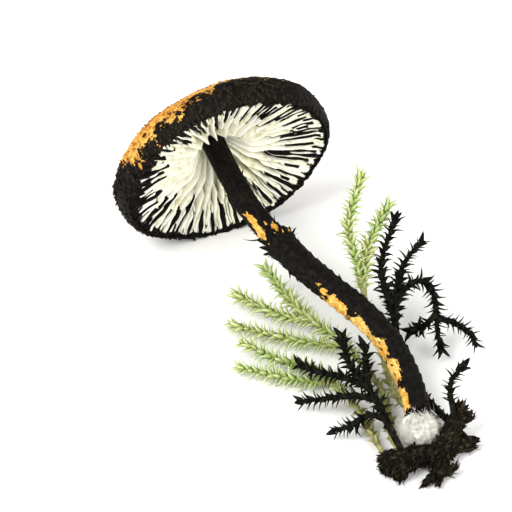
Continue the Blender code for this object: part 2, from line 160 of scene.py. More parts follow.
# The cap: a thick dome of flesh whose dry skin breaks up into ochre grains and pointed shaggy scales.
# Its in-rolled margin is torn, and it turns to black ink from the margin up, ragged like wet paper.
CAP_RADIUS, CAP_HEIGHT, WIDEST_AT = 24.6, 12.5, 3.6
LIP_RADIUS, INROLL_SHARE = 23.5, 0.12
FLESH_RADIUS, FLESH_HEIGHT, FLESH_AT_LIP = 22.5, 8.2, 1.0
LIP_ROWS = ((23.4, -0.45), (23.3, -0.65), (23.12, -0.4), (23.0, 0.2), (22.95, 1.0))
UNDERSIDE_RADII = (20.0, 15.0, 9.0, 4.0, 0.3)
CAP_COLUMNS, CROWN_ROWS = 336, 92
SKIN_LENGTH = 31.5
SHREDS = 170
GOLDEN_TURN = 2.39996
ABOVE_TABLE = 0.02
CAP_PLACE = Matrix.LocRotScale(
    UNDER_THE_RIM + Vector((2.6, 0.4, 22.3)) * MM,
    Matrix.Rotation(math.radians(-3), 3, "Z") @ Matrix.Rotation(math.radians(-72.2), 3, "Y"), None,
)
INK_REACH = 9.5
CAP_RAGGED = 8.0
OCHRE_LIGHT = (0.76, 0.41, 0.09)
OCHRE = (0.66, 0.29, 0.04)
OCHRE_DARK = (0.36, 0.13, 0.015)
OCHRE_PALE = (0.86, 0.63, 0.2)
INK = (0.0022, 0.002, 0.0018)
INK_BROWN = (0.011, 0.008, 0.005)
INK_TIP = (0.035, 0.026, 0.016)
INK_GLOSS = 0.08


def joined(parts):
    """The points and the faces of several parts as one body's."""
    starts = np.cumsum([0] + [len(part[0]) for part in parts[:-1]])
    faces = [[start + i for i in face] for start, part in zip(starts, parts) for face in part[1]]
    return np.concatenate([part[0] for part in parts]), faces


def mesh_piece(name, parts, place, material, node):
    """One piece from parts, each of them points in millimetres, faces, and numbers for its material.

    What would reach into the table is pressed flat on it.
    """
    points, faces = joined(parts)
    points = points @ np.array(place.to_3x3()).T
    points = points + np.array(place.translation) / MM
    points[:, 2] = np.maximum(points[:, 2], ABOVE_TABLE)
    mesh = bpy.data.meshes.new(name)
    mesh.from_pydata((points * MM).tolist(), [], faces)
    for key in parts[0][2]:
        values = np.concatenate([np.broadcast_to(part[2][key], len(part[0])) for part in parts])
        mesh.attributes.new(key, "FLOAT", "POINT").data.foreach_set("value", values.astype(np.float32))
    body = bmesh.new()
    body.from_mesh(mesh)
    bmesh.ops.recalc_face_normals(body, faces=body.faces)
    body.to_mesh(mesh)
    body.free()
    mesh.shade_smooth()
    mesh.materials.append(material)
    piece = bpy.data.objects.new(name, mesh)
    collection.objects.link(piece)
    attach(piece, "root")
    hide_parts(node)


def grid_faces(rows, columns, ring=False):
    """The quads of a grid of points whose last column meets its first, and in a ring its last row too."""
    at = np.arange(rows * columns).reshape(rows, columns)
    if ring:
        at = np.append(at, at[:1], axis=0)
    across = np.roll(at, -1, axis=1)
    quads = np.stack([at[:-1], across[:-1], across[1:], at[1:]], axis=-1)
    return quads.reshape(-1, 4).tolist()


def closed_faces(rows, columns):
    """The faces of such a grid with its two open ends filled in."""
    ends = [list(range(columns)), list(range((rows - 1) * columns, rows * columns))]
    return grid_faces(rows, columns) + ends


def noise_at(points, scale, seed=0.0, octaves=1):
    """Smooth noise about 0 at points in millimetres, with its lumps about 1 / scale apart."""
    shift = Vector((seed, 2 * seed, -seed))
    if octaves == 1:
        return np.array([noise.noise(Vector(p) * scale + shift) for p in points])
    return np.array([noise.fractal(Vector(p) * scale + shift, 0.8, 2.1, octaves) for p in points])


def unit(vectors):
    return vectors / np.maximum(np.linalg.norm(vectors, axis=-1, keepdims=True), 1e-9)


def blades(roots, along, up, length, width, depth, curl, cup=0.0, stations=4, belly=1.1, **numbers):
    """Closed pointed blades, such as scales, leaves and hairs, which bend by curl towards up.

    A blade with no belly is a plain triangle, broadest at its root.
    """
    count = len(roots)
    along = unit(along)
    up = unit(up - along * np.sum(along * up, axis=1, keepdims=True))
    side = np.cross(along, up)
    length, width, depth, curl = (np.broadcast_to(v, count)[:, None] for v in (length, width, depth, curl))
    rings = []
    for share in np.arange(stations) / stations:
        middle = roots + length * (along * share + up * curl * share**2)
        half = width * (1 - share) ** 0.8 * (1 - 0.35 * belly + belly * share)
        thick = depth * (1 - share) ** 0.6
        edge = up * half * cup
        rings += [middle + side * half + edge, middle + up * thick, middle - side * half + edge,
                  middle - up * thick * 0.5]
    tips = roots + length * (along + up * curl)
    points = np.stack([*rings, tips], axis=1)
    each = 4 * stations + 1
    faces = [(0, 1, 2, 3)]
    for ring in range(stations - 1):
        a = 4 * ring
        faces += [(a + i, a + (i + 1) % 4, a + 4 + (i + 1) % 4, a + 4 + i) for i in range(4)]
    last = each - 5
    faces += [(last + i, last + (i + 1) % 4, each - 1) for i in range(4)]
    shares = np.append(np.repeat(np.arange(stations) / stations, 4), 1)
    values = {key: np.repeat(np.broadcast_to(value, count), each) for key, value in numbers.items()}
    values["tip"] = np.tile(shares, count)
    all_faces = [[each * n + i for i in face] for n in range(count) for face in faces]
    return points.reshape(-1, 3), all_faces, values


def cap_outer(share):
    """The radius, height and normal of the cap's outline, from the crown at share 0 to the lip at 1."""
    arc = np.asarray(share, float) * (1 + INROLL_SHARE)
    crown = CAP_HEIGHT - WIDEST_AT
    a = np.clip(arc, 0, 1) * math.pi / 2
    b = np.clip((arc - 1) / INROLL_SHARE, 0, 1) * math.pi / 2
    inroll = CAP_RADIUS - LIP_RADIUS
    radius = CAP_RADIUS * np.sin(a) - inroll * (1 - np.cos(b))
    height = WIDEST_AT + crown * np.cos(a) - WIDEST_AT * np.sin(b)
    normal = unit(np.stack([np.sin(a) / CAP_RADIUS, np.cos(a) / crown], axis=-1))
    turn = np.stack([np.cos(b), -np.sin(b) * 0.5], axis=-1)
    normal = np.where((b > 0)[..., None], unit(turn), normal)
    return radius, height, normal


def near(angle, middle, spread):
    """1 at one angle round the cap, fading to 0 away from it."""
    return np.exp(-((np.angle(np.exp(1j * (angle - middle))) / spread) ** 2))


def lobes(angle, radius):
    """How far the cap's outline stands out or draws in, most at its margin."""
    swell = 0.35 * np.sin(3 * angle + 1) + 0.25 * np.sin(5 * angle) + 0.2 * np.sin(8 * angle + 2)
    swell = swell + 0.8 * near(angle, 1.2, 0.4) - 0.75 * near(angle, 0.3, 0.4)
    return swell * (radius / CAP_RADIUS) ** 2


def flesh_height(radius):
    """The underside of the cap's flesh, which the gills hang from."""
    return FLESH_HEIGHT * (1 - np.minimum(radius / FLESH_RADIUS, 1) ** 2.6) + FLESH_AT_LIP


def cap_points(share, angle, proud=0.0):
    """Points on the cap's skin or a little proud of it, and the outward direction at each."""
    radius, height, normal = cap_outer(share)
    radius = radius + lobes(angle, radius) + proud * normal[..., 0]
    height = height + proud * normal[..., 1]
    points = np.stack([radius * np.cos(angle), radius * np.sin(angle), height], axis=-1)
    level, steep = normal[..., 0], normal[..., 1]
    return points, np.stack([level * np.cos(angle), level * np.sin(angle), steep], axis=-1)


def ink_depth(share, angle):
    """How deep inside the inked margin a point is, in millimetres: below 0 is dry ochre skin."""
    from_lip = (1 - share) * SKIN_LENGTH
    uneven = 1.0 * np.sin(2 * angle + 0.6) + 0.9 * np.sin(7 * angle + 1) + 0.6 * np.sin(13 * angle)
    return INK_REACH + uneven - 6.6 * near(angle, -0.84, 0.46) - from_lip


shares = np.linspace(0.01, 1, CROWN_ROWS) ** 0.92
angles = np.linspace(0, math.tau, CAP_COLUMNS, endpoint=False)
share_grid, angle_grid = np.meshgrid(shares, angles, indexing="ij")
skin, outward = cap_points(share_grid, angle_grid)
flat = skin.reshape(-1, 3)
grains = 0.3 * noise_at(flat, 0.16, 3) + 0.22 * noise_at(flat, 0.9, 5, 3) + 0.12 * noise_at(flat, 2.3, 8)
skin = skin + outward * grains.reshape(share_grid.shape)[..., None]
rim_noise = noise_at(np.stack([np.cos(angles), np.sin(angles), angles * 0], axis=1) * 24, 0.55, 2, 3)
lip_rows = []
for radius, height in LIP_ROWS:
    torn = rim_noise * 0.45 if height < 0 else rim_noise * 0.1
    wide = radius + lobes(angles, radius) * 0.85
    lip_rows.append(np.stack([wide * np.cos(angles), wide * np.sin(angles), height + torn], axis=1))
for radius in UNDERSIDE_RADII:
    under = np.full(CAP_COLUMNS, float(flesh_height(radius)))
    lip_rows.append(np.stack([radius * np.cos(angles), radius * np.sin(angles), under], axis=1))
skin_rows = np.concatenate([skin, np.array(lip_rows)])
depth_rows = np.concatenate([
    ink_depth(share_grid, angle_grid),
    np.tile(ink_depth(np.ones(CAP_COLUMNS), angles), (len(lip_rows), 1)),
])
skin_part = (
    skin_rows.reshape(-1, 3), closed_faces(len(skin_rows), CAP_COLUMNS),
    {"ink": depth_rows.ravel(), "tip": 0.0, "lot": 0.5},
)

draw = np.random.default_rng(7)


def raggedness(angle):
    """The cap is torn most on the side towards the window, and nearly smooth on the other."""
    return 0.35 + 0.65 * near(angle, -1.2, 1.3)


def scales(count, first, last, length, lift):
    """Shaggy scales spread evenly over a belt of the cap, pointing to its margin."""
    order = np.arange(count) + 0.5
    inner = (first / last) ** 2
    share = first + (last - first) * np.sqrt(order / count + inner) / math.sqrt(1 + inner)
    angle = (order * GOLDEN_TURN + draw.normal(0, 0.05, count)) % math.tau
    size = draw.uniform(0.6, 1.25, count) * length
    points, normal = cap_points(share, angle, -0.12)
    ahead, _ = cap_points(np.minimum(share + 0.01, 1), angle + draw.normal(0, 0.006, count), -0.12)
    return blades(
        points, ahead - points, normal, size, size * draw.uniform(0.26, 0.4, count), 0.16,
        draw.uniform(0.35, 1, count) * lift * raggedness(angle),
        ink=ink_depth(share, angle) + draw.normal(0, 1.1, count), lot=draw.uniform(0, 1, count),
    )


shred_angle = (np.arange(SHREDS) + draw.uniform(-0.3, 0.3, SHREDS)) / SHREDS * math.tau
shred_out = np.stack([np.cos(shred_angle), np.sin(shred_angle), 0 * shred_angle], axis=1)
shreds = blades(
    shred_out * 23.1 - [0, 0, 0.35], shred_out * draw.uniform(-0.5, 0.6, (SHREDS, 1)) - [0, 0, 1], shred_out,
    (draw.gamma(3, 0.28, SHREDS) + 0.3) * raggedness(shred_angle), draw.uniform(0.2, 0.5, SHREDS), 0.14,
    draw.uniform(-0.4, 0.5, SHREDS), ink=draw.uniform(4, 10, SHREDS), lot=draw.uniform(0, 1, SHREDS),
)


def new_group(name, inputs, outputs):
    """A shader group with named sockets, and the sockets that stand for its two ends."""
    group = bpy.data.node_groups.new(name, "ShaderNodeTree")
    for socket, value in inputs.items():
        kind = "NodeSocketVector" if value is None else "NodeSocketFloat"
        made = group.interface.new_socket(socket, in_out="INPUT", socket_type=kind)
        if value is not None:
            made.default_value = value
    for socket, kind in outputs.items():
        group.interface.new_socket(socket, in_out="OUTPUT", socket_type=kind)
    return group, group.nodes.new("NodeGroupInput").outputs, group.nodes.new("NodeGroupOutput").inputs


def maths(tree, operation, first, second):
    return add(tree, "ShaderNodeMath", {0: first, 1: second}, operation=operation).outputs[0]


# ink runs into the flesh with a torn edge: the depth in millimetres, pushed about by two sizes of noise
ink_spread, given, wanted = new_group(
    "ink_spread", {"Place": None, "Depth": 0, "Ragged": 3, "Soft": 0.5},
    {"Mask": "NodeSocketFloat", "Ink": "NodeSocketColor"},
)
coarse = maths(ink_spread, "MULTIPLY", mottle(ink_spread, 330, 2, given["Place"]), 1.3)
fine = maths(ink_spread, "MULTIPLY", mottle(ink_spread, 1500, 3, given["Place"]), 0.7)
pushed = maths(ink_spread, "SUBTRACT", maths(ink_spread, "ADD", coarse, fine), 1.0)
pushed = maths(ink_spread, "MULTIPLY", pushed, given["Ragged"])
edge = maths(ink_spread, "DIVIDE", maths(ink_spread, "ADD", given["Depth"], pushed), given["Soft"])
edge = maths(ink_spread, "ADD", edge, 0.5)
ink_spread.links.new(add(ink_spread, "ShaderNodeClamp", {"Value": edge}).outputs[0], wanted["Mask"])
dried = ramp(ink_spread, mottle(ink_spread, 900, 4, given["Place"]), (0.42, INK), (0.72, INK_BROWN))
ink_spread.links.new(dried, wanted["Ink"])

# fine relief for the height of a bump, with so many grains to a metre
fine_grain, given, wanted = new_group(
    "fine_grain", {"Place": None, "Scale": 2000}, {"Height": "NodeSocketFloat"},
)
fine_grain.links.new(mottle(fine_grain, given["Scale"], 4, given["Place"]), wanted["Height"])


def number(tree, name):
    """One of the numbers that a piece's points carry for its material."""
    return add(tree, "ShaderNodeAttribute", attribute_name=name).outputs["Fac"]


def inked(tree, ragged, soft=0.5):
    """The ink's mask and colour on a surface that carries the ink's depth."""
    inputs = {"Place": place_of(tree), "Depth": number(tree, "ink"), "Ragged": ragged, "Soft": soft}
    made = add(tree, "ShaderNodeGroup", inputs, node_tree=ink_spread)
    return made.outputs["Mask"], made.outputs["Ink"]


def mixed(tree, factor, *colours):
    """Two colours mixed, each a socket or a plain colour. The mix node's colour sockets are 6, 7 and 2."""
    first, second = [(*colour, 1) if isinstance(colour, tuple) else colour for colour in colours]
    return add(tree, "ShaderNodeMix", {0: factor, 6: first, 7: second}, data_type="RGBA").outputs[2]


def with_tips(tree, colour, tip_colour, amount):
    """A colour that changes towards the tips of scales and rags."""
    return mixed(tree, maths(tree, "MULTIPLY", number(tree, "tip"), amount), colour, tip_colour)


def cap_colour(tree):
    grain = ramp(tree, mottle(tree, 1700, 4), (0.37, OCHRE_DARK), (0.48, OCHRE), (0.64, OCHRE_LIGHT))
    patches = ramp(tree, mottle(tree, 140, 2), (0.4, OCHRE), (0.68, OCHRE_LIGHT))
    dry = mixed(tree, 0.4, grain, patches)
    to_margin = add(tree, "ShaderNodeMapRange", {"Value": number(tree, "ink"), "From Min": -7, "From Max": 3})
    dry = mixed(tree, maths(tree, "MULTIPLY", to_margin.outputs[0], 0.3), dry, OCHRE_PALE)
    mask, ink = inked(tree, CAP_RAGGED)
    return mixed(tree, mask, with_tips(tree, dry, OCHRE_DARK, 0.7), with_tips(tree, ink, INK_TIP, 0.8))


def cap_roughness(tree):
    return maths(tree, "SUBTRACT", 0.86, maths(tree, "MULTIPLY", inked(tree, CAP_RAGGED)[0], 0.24))


def grained(scale, strength, distance):
    """A maker of fine relief, with so many grains to a metre."""
    def normal(tree):
        grain = add(tree, "ShaderNodeGroup", {"Place": place_of(tree), "Scale": scale}, node_tree=fine_grain)
        relief = {"Height": grain.outputs["Height"], "Strength": strength, "Distance": distance}
        return add(tree, "ShaderNodeBump", relief).outputs["Normal"]
    return normal


cap_skin = finish("inky shaggy cap skin", cap_colour, cap_roughness, grained(2600, 0.5, 0.0002),
                  Specular_IOR_Level=INK_GLOSS)
crown_scales = scales(1300, 0.02, 0.62, 1.4, 0.42)
margin_scales = scales(1500, 0.5, 0.97, 1.5, 0.42)
mesh_piece(
    "shaggy_cap", [skin_part, crown_scales, margin_scales, shreds], CAP_PLACE, cap_skin, "cap",
)


# The gills: thin plates of pale flesh that hang side by side from under the cap, some full and some short.
# They are digested to ink from their outer ends inwards, in black strokes of uneven length. A pale gill
# and an inked one take turns round the cap. The black strokes and the inked roof near the margin are partly
# ink and partly painted shade of the deep gaps between the gills.
GILL_ROOF_GAP, GILL_ROOF = 0.3, 0.8
GILL_OUTER, GILL_LOBES = 22.75, 0.8
EDGE_HEIGHT, EDGE_FALL = 3.7, 4.2
GILL_PAIRS, GILL_STATIONS = 92, 20
GILL_STARTS = (3.5, 15.0, 9.5, 15.5)
GILL_SECTION = ((-1, 0), (-0.95, 0.5), (-0.6, 0.93), (0, 1), (0.6, 0.93), (0.95, 0.5), (1, 0))
PAST_THE_LIP = 30
FLOATING_SIDE = 1.55
ROOF_COLUMNS, ROOF_UNDER, ROOF_OVER = 276, 26, 12
ROOF_INNER = 3.1
GILL_CREAM = (0.94, 0.92, 0.78)
GILL_OLIVE_SHADE = (0.58, 0.55, 0.34)


def edge_height(radius):
    return EDGE_HEIGHT - EDGE_FALL * (radius / CAP_RADIUS) ** 1.6


def roof_height(radius):
    return flesh_height(radius) - GILL_ROOF_GAP - GILL_ROOF


def margin_ink_and_shade(angle):
    """How far in from the lip the roof between the gills is inked: widest where the cap is most torn.

    The inked roof is partly ink and partly painted shade of the gaps between the gills.
    """
    return 0.5 + 2.6 * near(angle, -1.45, 0.75) + 0.9 * near(angle, 0.35, 0.7)


def gill_outer(angle):
    """The gills end under the lip, so they follow the cap's lobes."""
    return GILL_OUTER + GILL_LOBES * lobes(angle, GILL_OUTER)


def gill(angle, start, outer_width, inner_width, strokes, wave, sag, hang=0.0):
    """One gill, a wavy plate that thins to its free edge, with ink strokes from one radius to another."""
    share = np.linspace(0, 1, GILL_STATIONS) ** 0.9
    radius = start + (gill_outer(angle) - start) * share
    high = roof_height(radius) + 0.2
    low = np.minimum(edge_height(radius) + sag * np.sin(radius * 0.8 + wave), high - 0.35) - hang * share
    low = low + 0.85 * (high - low) * np.clip(1 - share * 5, 0, 1)
    half = (inner_width + (outer_width - inner_width) * share) / 2
    aside = 0.16 * np.sin(radius * 0.45 + wave) + 0.07 * np.sin(radius * 1.7 + 2 * wave)
    rows = []
    for side, drop in GILL_SECTION:
        y = aside + side * half
        z = high + (low - high) * drop
        rows.append(np.stack([
            radius * math.cos(angle) - y * math.sin(angle), radius * math.sin(angle) + y * math.cos(angle), z,
        ], axis=1))
    points = np.stack(rows, axis=1)
    depths = [np.minimum(radius - first, last - radius) for first, last in strokes]
    ink = np.repeat(np.max(depths, axis=0), len(GILL_SECTION))
    numbers = {"ink": ink, "lot": 0.5 + 0.5 * math.sin(wave * 7)}
    return points.reshape(-1, 3), closed_faces(GILL_STATIONS, len(GILL_SECTION)), numbers


gills = []
for n in range(GILL_PAIRS):
    turn = math.tau * (n + draw.uniform(-0.1, 0.1)) / GILL_PAIRS
    outer = gill_outer(turn)
    end = (outer - margin_ink_and_shade(turn) * draw.uniform(0.4, 1.5), PAST_THE_LIP)
    gills.append(gill(turn, GILL_STARTS[n % 4], 0.8, 0.42, [end], draw.uniform(0, 6), 0.12))
    # next to each pale gill stands one with a bold stroke of ink, or a thin one that is inked at its end;
    # some bold strokes float free of the inked margin, most of them on one side of the cap; these strokes are
    # partly ink and partly painted shade of the gaps between the pale gills
    start = draw.uniform(9, 15)
    turn = math.tau * (n + 0.5 + draw.uniform(-0.2, 0.2)) / GILL_PAIRS
    bold = n % 2 == 0 or draw.uniform(0, 1) < 0.2 + 0.5 * near(turn, 1.0, 1.2)
    floating = draw.uniform(0, 1) < 0.9 * near(turn, FLOATING_SIDE, 0.9)
    last = outer - draw.uniform(1.0, 3.4) if floating else PAST_THE_LIP
    reach = draw.gamma(3.4, 1.5) + 3.2 + 2.4 * near(turn, -1.9, 1.0) + 4.0 * near(turn, 1.0, 1.1)
    if not bold:
        reach = draw.uniform(0.5, 2.2) + margin_ink_and_shade(turn)
        last = PAST_THE_LIP
    stroke = (max(outer - reach, start + 2.2), last)
    width = draw.uniform(0.7, 1.15) + 0.2 * near(turn, 1.2, 1.2) if bold else draw.uniform(0.3, 0.5)
    gills.append(gill(turn, start, width, 0.2, [end, stroke], draw.uniform(0, 6), 0.22, 0.3 if bold else 0))

under = np.linspace(ROOF_INNER, GILL_OUTER, ROOF_UNDER)
over = np.linspace(GILL_OUTER, ROOF_INNER, ROOF_OVER)
roof_heights = np.concatenate([roof_height(under), flesh_height(over) - GILL_ROOF_GAP])
roof_angles = np.linspace(0, math.tau, ROOF_COLUMNS, endpoint=False)
radius_grid, roof_turn = np.meshgrid(np.concatenate([under, over]), roof_angles, indexing="ij")
radius_grid = radius_grid * (gill_outer(roof_turn) / GILL_OUTER)
roof_points = np.stack([
    radius_grid * np.cos(roof_turn), radius_grid * np.sin(roof_turn), roof_heights[:, None] + 0 * roof_turn,
], axis=-1)
# the roof is inked near the margin, partly as ink and partly as painted shade of the gaps between the gills
roof_ink_and_shade = radius_grid - gill_outer(roof_turn) + margin_ink_and_shade(roof_turn)
roof_part = (
    roof_points.reshape(-1, 3), grid_faces(ROOF_UNDER + ROOF_OVER, ROOF_COLUMNS, ring=True),
    {"ink": roof_ink_and_shade.ravel(), "lot": 0.5},
)


def gill_colour(tree):
    # the olive-grey patches of this mottle are painted shade, laid at random over the gills
    flesh = ramp(tree, mottle(tree, 700, 3), (0.3, GILL_OLIVE_SHADE), (0.46, (0.88, 0.86, 0.66)), (0.6, GILL_CREAM))
    pale = mixed(tree, maths(tree, "MULTIPLY", number(tree, "lot"), 0.5), flesh, (0.96, 0.95, 0.88))
    # this ink mask is partly ink and partly painted shade of the gaps between the gills near the margin
    mask, ink = inked(tree, 1.6, 0.3)
    return mixed(tree, mask, pale, ink)


gill_flesh = finish(
    "pale gills, inked and painted with gap shade at their ends", gill_colour, 0.72, grained(2200, 0.25, 0.0001), Subsurface_Weight=0.2,
    Subsurface_Radius=(0.0014, 0.0011, 0.0007), Subsurface_Scale=1.0, Specular_IOR_Level=INK_GLOSS,
)
mesh_piece("gill_plates", [roof_part, *gills], CAP_PLACE, gill_flesh, "gills")


# The stem: a bent fibrous stalk that thickens below a torn ring, where rags of the veil flare out. Below
# the ring a sheath of belts breaks into small scales that point up to the cap. Ink has run down most of it.
STEM_ROUTE = (
    (2.6, 0.4, 22.3), (12, 0.3, 19.5), (20, 0.9, 18.1), (28, 2, 17), (36, 3.4, 16.1), (44, 5.8, 14.9),
    (52, 8.6, 13), (59, 10, 11), (66.5, 9.8, 8.8), (73, 8.6, 7), (80.5, 6.2, 4.9),
)
STEM_SOCKET, STEM_RADIUS, SHEATH_RADIUS, RING_AT = 7.4, 2.55, 3.0, 30.5
STEM_COLUMNS, STEM_STEP = 80, 0.36
BELT_LENGTH = 2.4
FLAPS, RAGS, FRINGE = 16, 60, 54
STEM_INK, DEEP_INK, STEM_RAGGED = 4.6, 5.0, 7.0
LAY = Matrix.Translation(UNDER_THE_RIM)


def smooth_route(points, step):
    """Points a step apart, in millimetres, along a smooth curve through a route, with frames along it."""
    points = [Vector(p) for p in points]
    ends = [2 * points[0] - points[1], *points, 2 * points[-1] - points[-2]]
    curve = []
    for before, start, end, after in zip(ends, ends[1:], ends[2:], ends[3:]):
        handle = (end - start).length / 3
        curve += geometry.interpolate_bezier(
            start, start + (end - before).normalized() * handle,
            end - (after - start).normalized() * handle, end, 24,
        )[:-1]
    curve = np.array([*curve, points[-1]])
    run = np.concatenate([[0], np.cumsum(np.linalg.norm(np.diff(curve, axis=0), axis=1))])
    stations = np.linspace(0, run[-1], max(3, round(run[-1] / step) + 1))
    path = np.stack([np.interp(stations, run, curve[:, i]) for i in range(3)], axis=1)
    tangents = unit(np.gradient(path, axis=0))
    side = unit(np.cross([0, 1, 0.01], tangents[0]))
    sides = []
    for tangent in tangents:
        side = unit(side - tangent * (side @ tangent))
        sides.append(side)
    sides = np.array(sides)
    return stations, path, tangents, sides, np.cross(tangents, sides)


def tube(route, radius_at, columns, step, grain=None):
    """A bent closed tube: its points and faces, the stations and turns of its grid, and its route's frame."""
    stations, path, tangents, sides, ups = smooth_route(route, step)
    turn = np.linspace(0, math.tau, columns, endpoint=False)
    out = sides[:, None] * np.cos(turn)[None, :, None] + ups[:, None] * np.sin(turn)[None, :, None]
    radius = radius_at(stations)[:, None] + 0 * turn[None]
    if grain is not None:
        radius = radius + grain(stations[:, None] + 0 * turn[None], turn[None] + 0 * stations[:, None])
    grid = path[:, None] + out * radius[..., None]
    rows, count = grid.shape[:2]
    points = np.concatenate([grid.reshape(-1, 3), path[:1], path[-1:]])
    faces = grid_faces(rows, count)
    first, last, end = rows * count, rows * count + 1, (rows - 1) * count
    faces += [[first, (i + 1) % count, i] for i in range(count)]
    faces += [[last, end + i, end + (i + 1) % count] for i in range(count)]
    return points, faces, stations, turn, (path, tangents, sides, ups)


cap_axis = np.array(CAP_PLACE.to_3x3() @ Vector((0, 0, 1)))
stem_top = np.array(STEM_ROUTE[0]) + cap_axis * STEM_SOCKET
stem_length = smooth_route([stem_top, *STEM_ROUTE], 0.5)[0][-1]


def stem_radius(along):
    """The stalk above the ring, the sheath below it with its cuff, and the rounded end in the foot."""
    sheath = SHEATH_RADIUS - 0.45 * np.clip((along - RING_AT) / (stem_length - RING_AT), 0, 1)
    swell = 1 / (1 + np.exp(-(along - RING_AT) / 0.35))
    cuff = 0.4 * np.exp(-(((along - RING_AT - 1.1) / 1.3) ** 2))
    end = np.clip((stem_length - along) / 1.2, 0, 1) ** 0.5
    return (STEM_RADIUS + (sheath - STEM_RADIUS) * swell + cuff) * (0.55 + 0.45 * end)


def stem_grain(along, turn):
    """Long fibres all the way, and below the ring ragged belts that step over each other."""
    fibre = 0.09 * np.sin(turn * 9 + 1.3 * np.sin(along * 0.21)) + 0.06 * np.sin(turn * 23 + along * 0.12)
    flat = np.stack([np.cos(turn) * 3, np.sin(turn) * 3, along * 0.35], axis=-1).reshape(-1, 3)
    rough = 0.16 * noise_at(flat, 0.8, 4, 3).reshape(along.shape)
    wander = 0.6 * noise_at(flat, 0.5, 9).reshape(along.shape)
    belt = ((along + wander) / BELT_LENGTH) % 1
    steps = np.where(along > RING_AT + 1, 0.3 * (1 - belt) ** 2, 0)
    return fibre * 0.6 + rough + steps


stem_points, stem_faces, stations, turns, stem_frame = tube(
    [stem_top, *STEM_ROUTE], stem_radius, STEM_COLUMNS, STEM_STEP, stem_grain,
)
DRY_FLANK = (0.32, -0.93, -0.18)
DRY_PATCHES = (
    # along the stem, half length, the side it is on, how wide it reaches round the stem, strength
    (RING_AT - 2.8, 2.6, (0.5, -0.85, -0.03), 0.75, 8.5),
    (RING_AT - 8.2, 3.4, (0.66, -0.65, 0.3), 0.42, 6.6),
    (RING_AT - 1.6, 1.9, (0.53, 0.2, 0.82), 0.5, 8.5),
    (RING_AT + 18, 1.2, (0.66, -0.65, 0.3), 0.3, 5.6),
)


def facing(along, direction):
    """The turn round the stem that faces a direction, at distances along the stem."""
    turns = np.unwrap(np.arctan2(stem_frame[3] @ direction, stem_frame[2] @ direction))
    return np.interp(along, stations, turns)


def stem_ink(along, turn):
    """Ink covers the stem but for ochre patches by the ring and along its lower flank."""
    patches = 0
    for middle, half, side, wide, strength in DRY_PATCHES:
        off = np.angle(np.exp(1j * (turn - facing(along, side)))) / wide
        patches = patches + strength * np.exp(-(((along - middle) / half) ** 2) - off**2)
    flank = np.cos(turn - facing(along, DRY_FLANK))
    low = 8.4 * np.clip(flank - 0.1, 0, 1) * np.clip((along - 42) / 9, 0, 1)
    return STEM_INK - patches - low * (1 - 0.45 * np.sin(along * 0.42) ** 4)


along_grid, turn_grid = np.meshgrid(stations, turns, indexing="ij")
stem_part = (
    stem_points, stem_faces,
    {"ink": np.append(stem_ink(along_grid, turn_grid).ravel(), [DEEP_INK] * 2), "tip": 0.0, "lot": 0.5},
)


def on_stem(along, turn, proud):
    """Roots on the stem's skin, with the outward and the upward direction there."""
    at = along / stem_length * (len(stations) - 1)
    path, tangents, sides, ups = [
        np.stack([np.interp(at, np.arange(len(rows)), rows[:, i]) for i in range(3)], axis=1)
        for rows in stem_frame
    ]
    out = unit(sides * np.cos(turn)[:, None] + ups * np.sin(turn)[:, None])
    return path + out * (stem_radius(along) + proud)[:, None], out, -unit(tangents)


def stem_scales(count, first, last, length, lift):
    """Small scales on a stretch of the stem, pointing up to the cap."""
    along = first + (last - first) * (np.arange(count) + 0.5) / count
    turn = (np.arange(count) * GOLDEN_TURN) % math.tau
    roots, out, upward = on_stem(along, turn, -0.1)
    size = draw.uniform(0.5, 1.3, count) * length
    return blades(
        roots, upward + out * 0.15, out, size, size * draw.uniform(0.2, 0.36, count), 0.12,
        draw.uniform(0.2, 1, count) * lift, ink=stem_ink(along, turn) + draw.normal(0.4, 1.6, count),
        lot=draw.uniform(0, 1, count),
    )


flap_turn = np.arange(FLAPS) / FLAPS * math.tau + draw.uniform(-0.12, 0.12, FLAPS)
flap_roots, flap_out, flap_up = on_stem(RING_AT + 1.2 + draw.uniform(-0.5, 0.5, FLAPS), flap_turn, -0.3)
flap_size = draw.uniform(1.5, 3.0, FLAPS)
flaps = blades(
    flap_roots, flap_up + flap_out * draw.uniform(0.25, 0.75, (FLAPS, 1)), flap_out, flap_size,
    draw.uniform(0.6, 1.2, FLAPS), 0.22, draw.uniform(0, 0.6, FLAPS), stations=7, belly=0.4,
    ink=draw.uniform(0, 6, FLAPS), lot=draw.uniform(0, 1, FLAPS),
)
HOOKS = (
    # along the stem, side of the stem, direction of the hook, direction it curls to, length, half width, curl
    (RING_AT - 3.4, (0.3, 0.9, 0.3), (0.5, 0.8, -0.15), (0.2, -0.2, -0.9), 4.0, 0.6, 0.4),
    (RING_AT - 2.2, (0.6, 0.5, 0.6), (0.3, 0.9, 0.2), (0.2, 0.3, -0.9), 2.6, 0.85, 0.5),
    (RING_AT - 1.0, (0.3, 0.8, 0.5), (-0.2, 0.9, 0.5), (0.3, 0.5, -0.6), 2.2, 0.6, 0.6),
    (RING_AT - 3.2, (0.2, -0.9, -0.4), (0.0, -0.9, -0.3), (-0.5, 0.1, 0.9), 3.8, 0.6, 0.55),
    (RING_AT + 0.6, (0.2, -0.9, -0.3), (-0.3, -0.9, 0.0), (-0.4, 0.3, 0.8), 1.8, 0.5, 0.4),
    (RING_AT + 7.0, (0.1, -0.9, -0.5), (0.9, -0.25, -0.4), (0.2, -0.8, -0.5), 2.6, 1.1, 0.1),
    (RING_AT + 9.4, (0.2, -0.9, -0.4), (0.9, -0.1, -0.4), (0.2, -0.8, -0.5), 2.0, 0.9, 0.1),
)
hook_rows = [np.array(column, float) for column in zip(*HOOKS)]
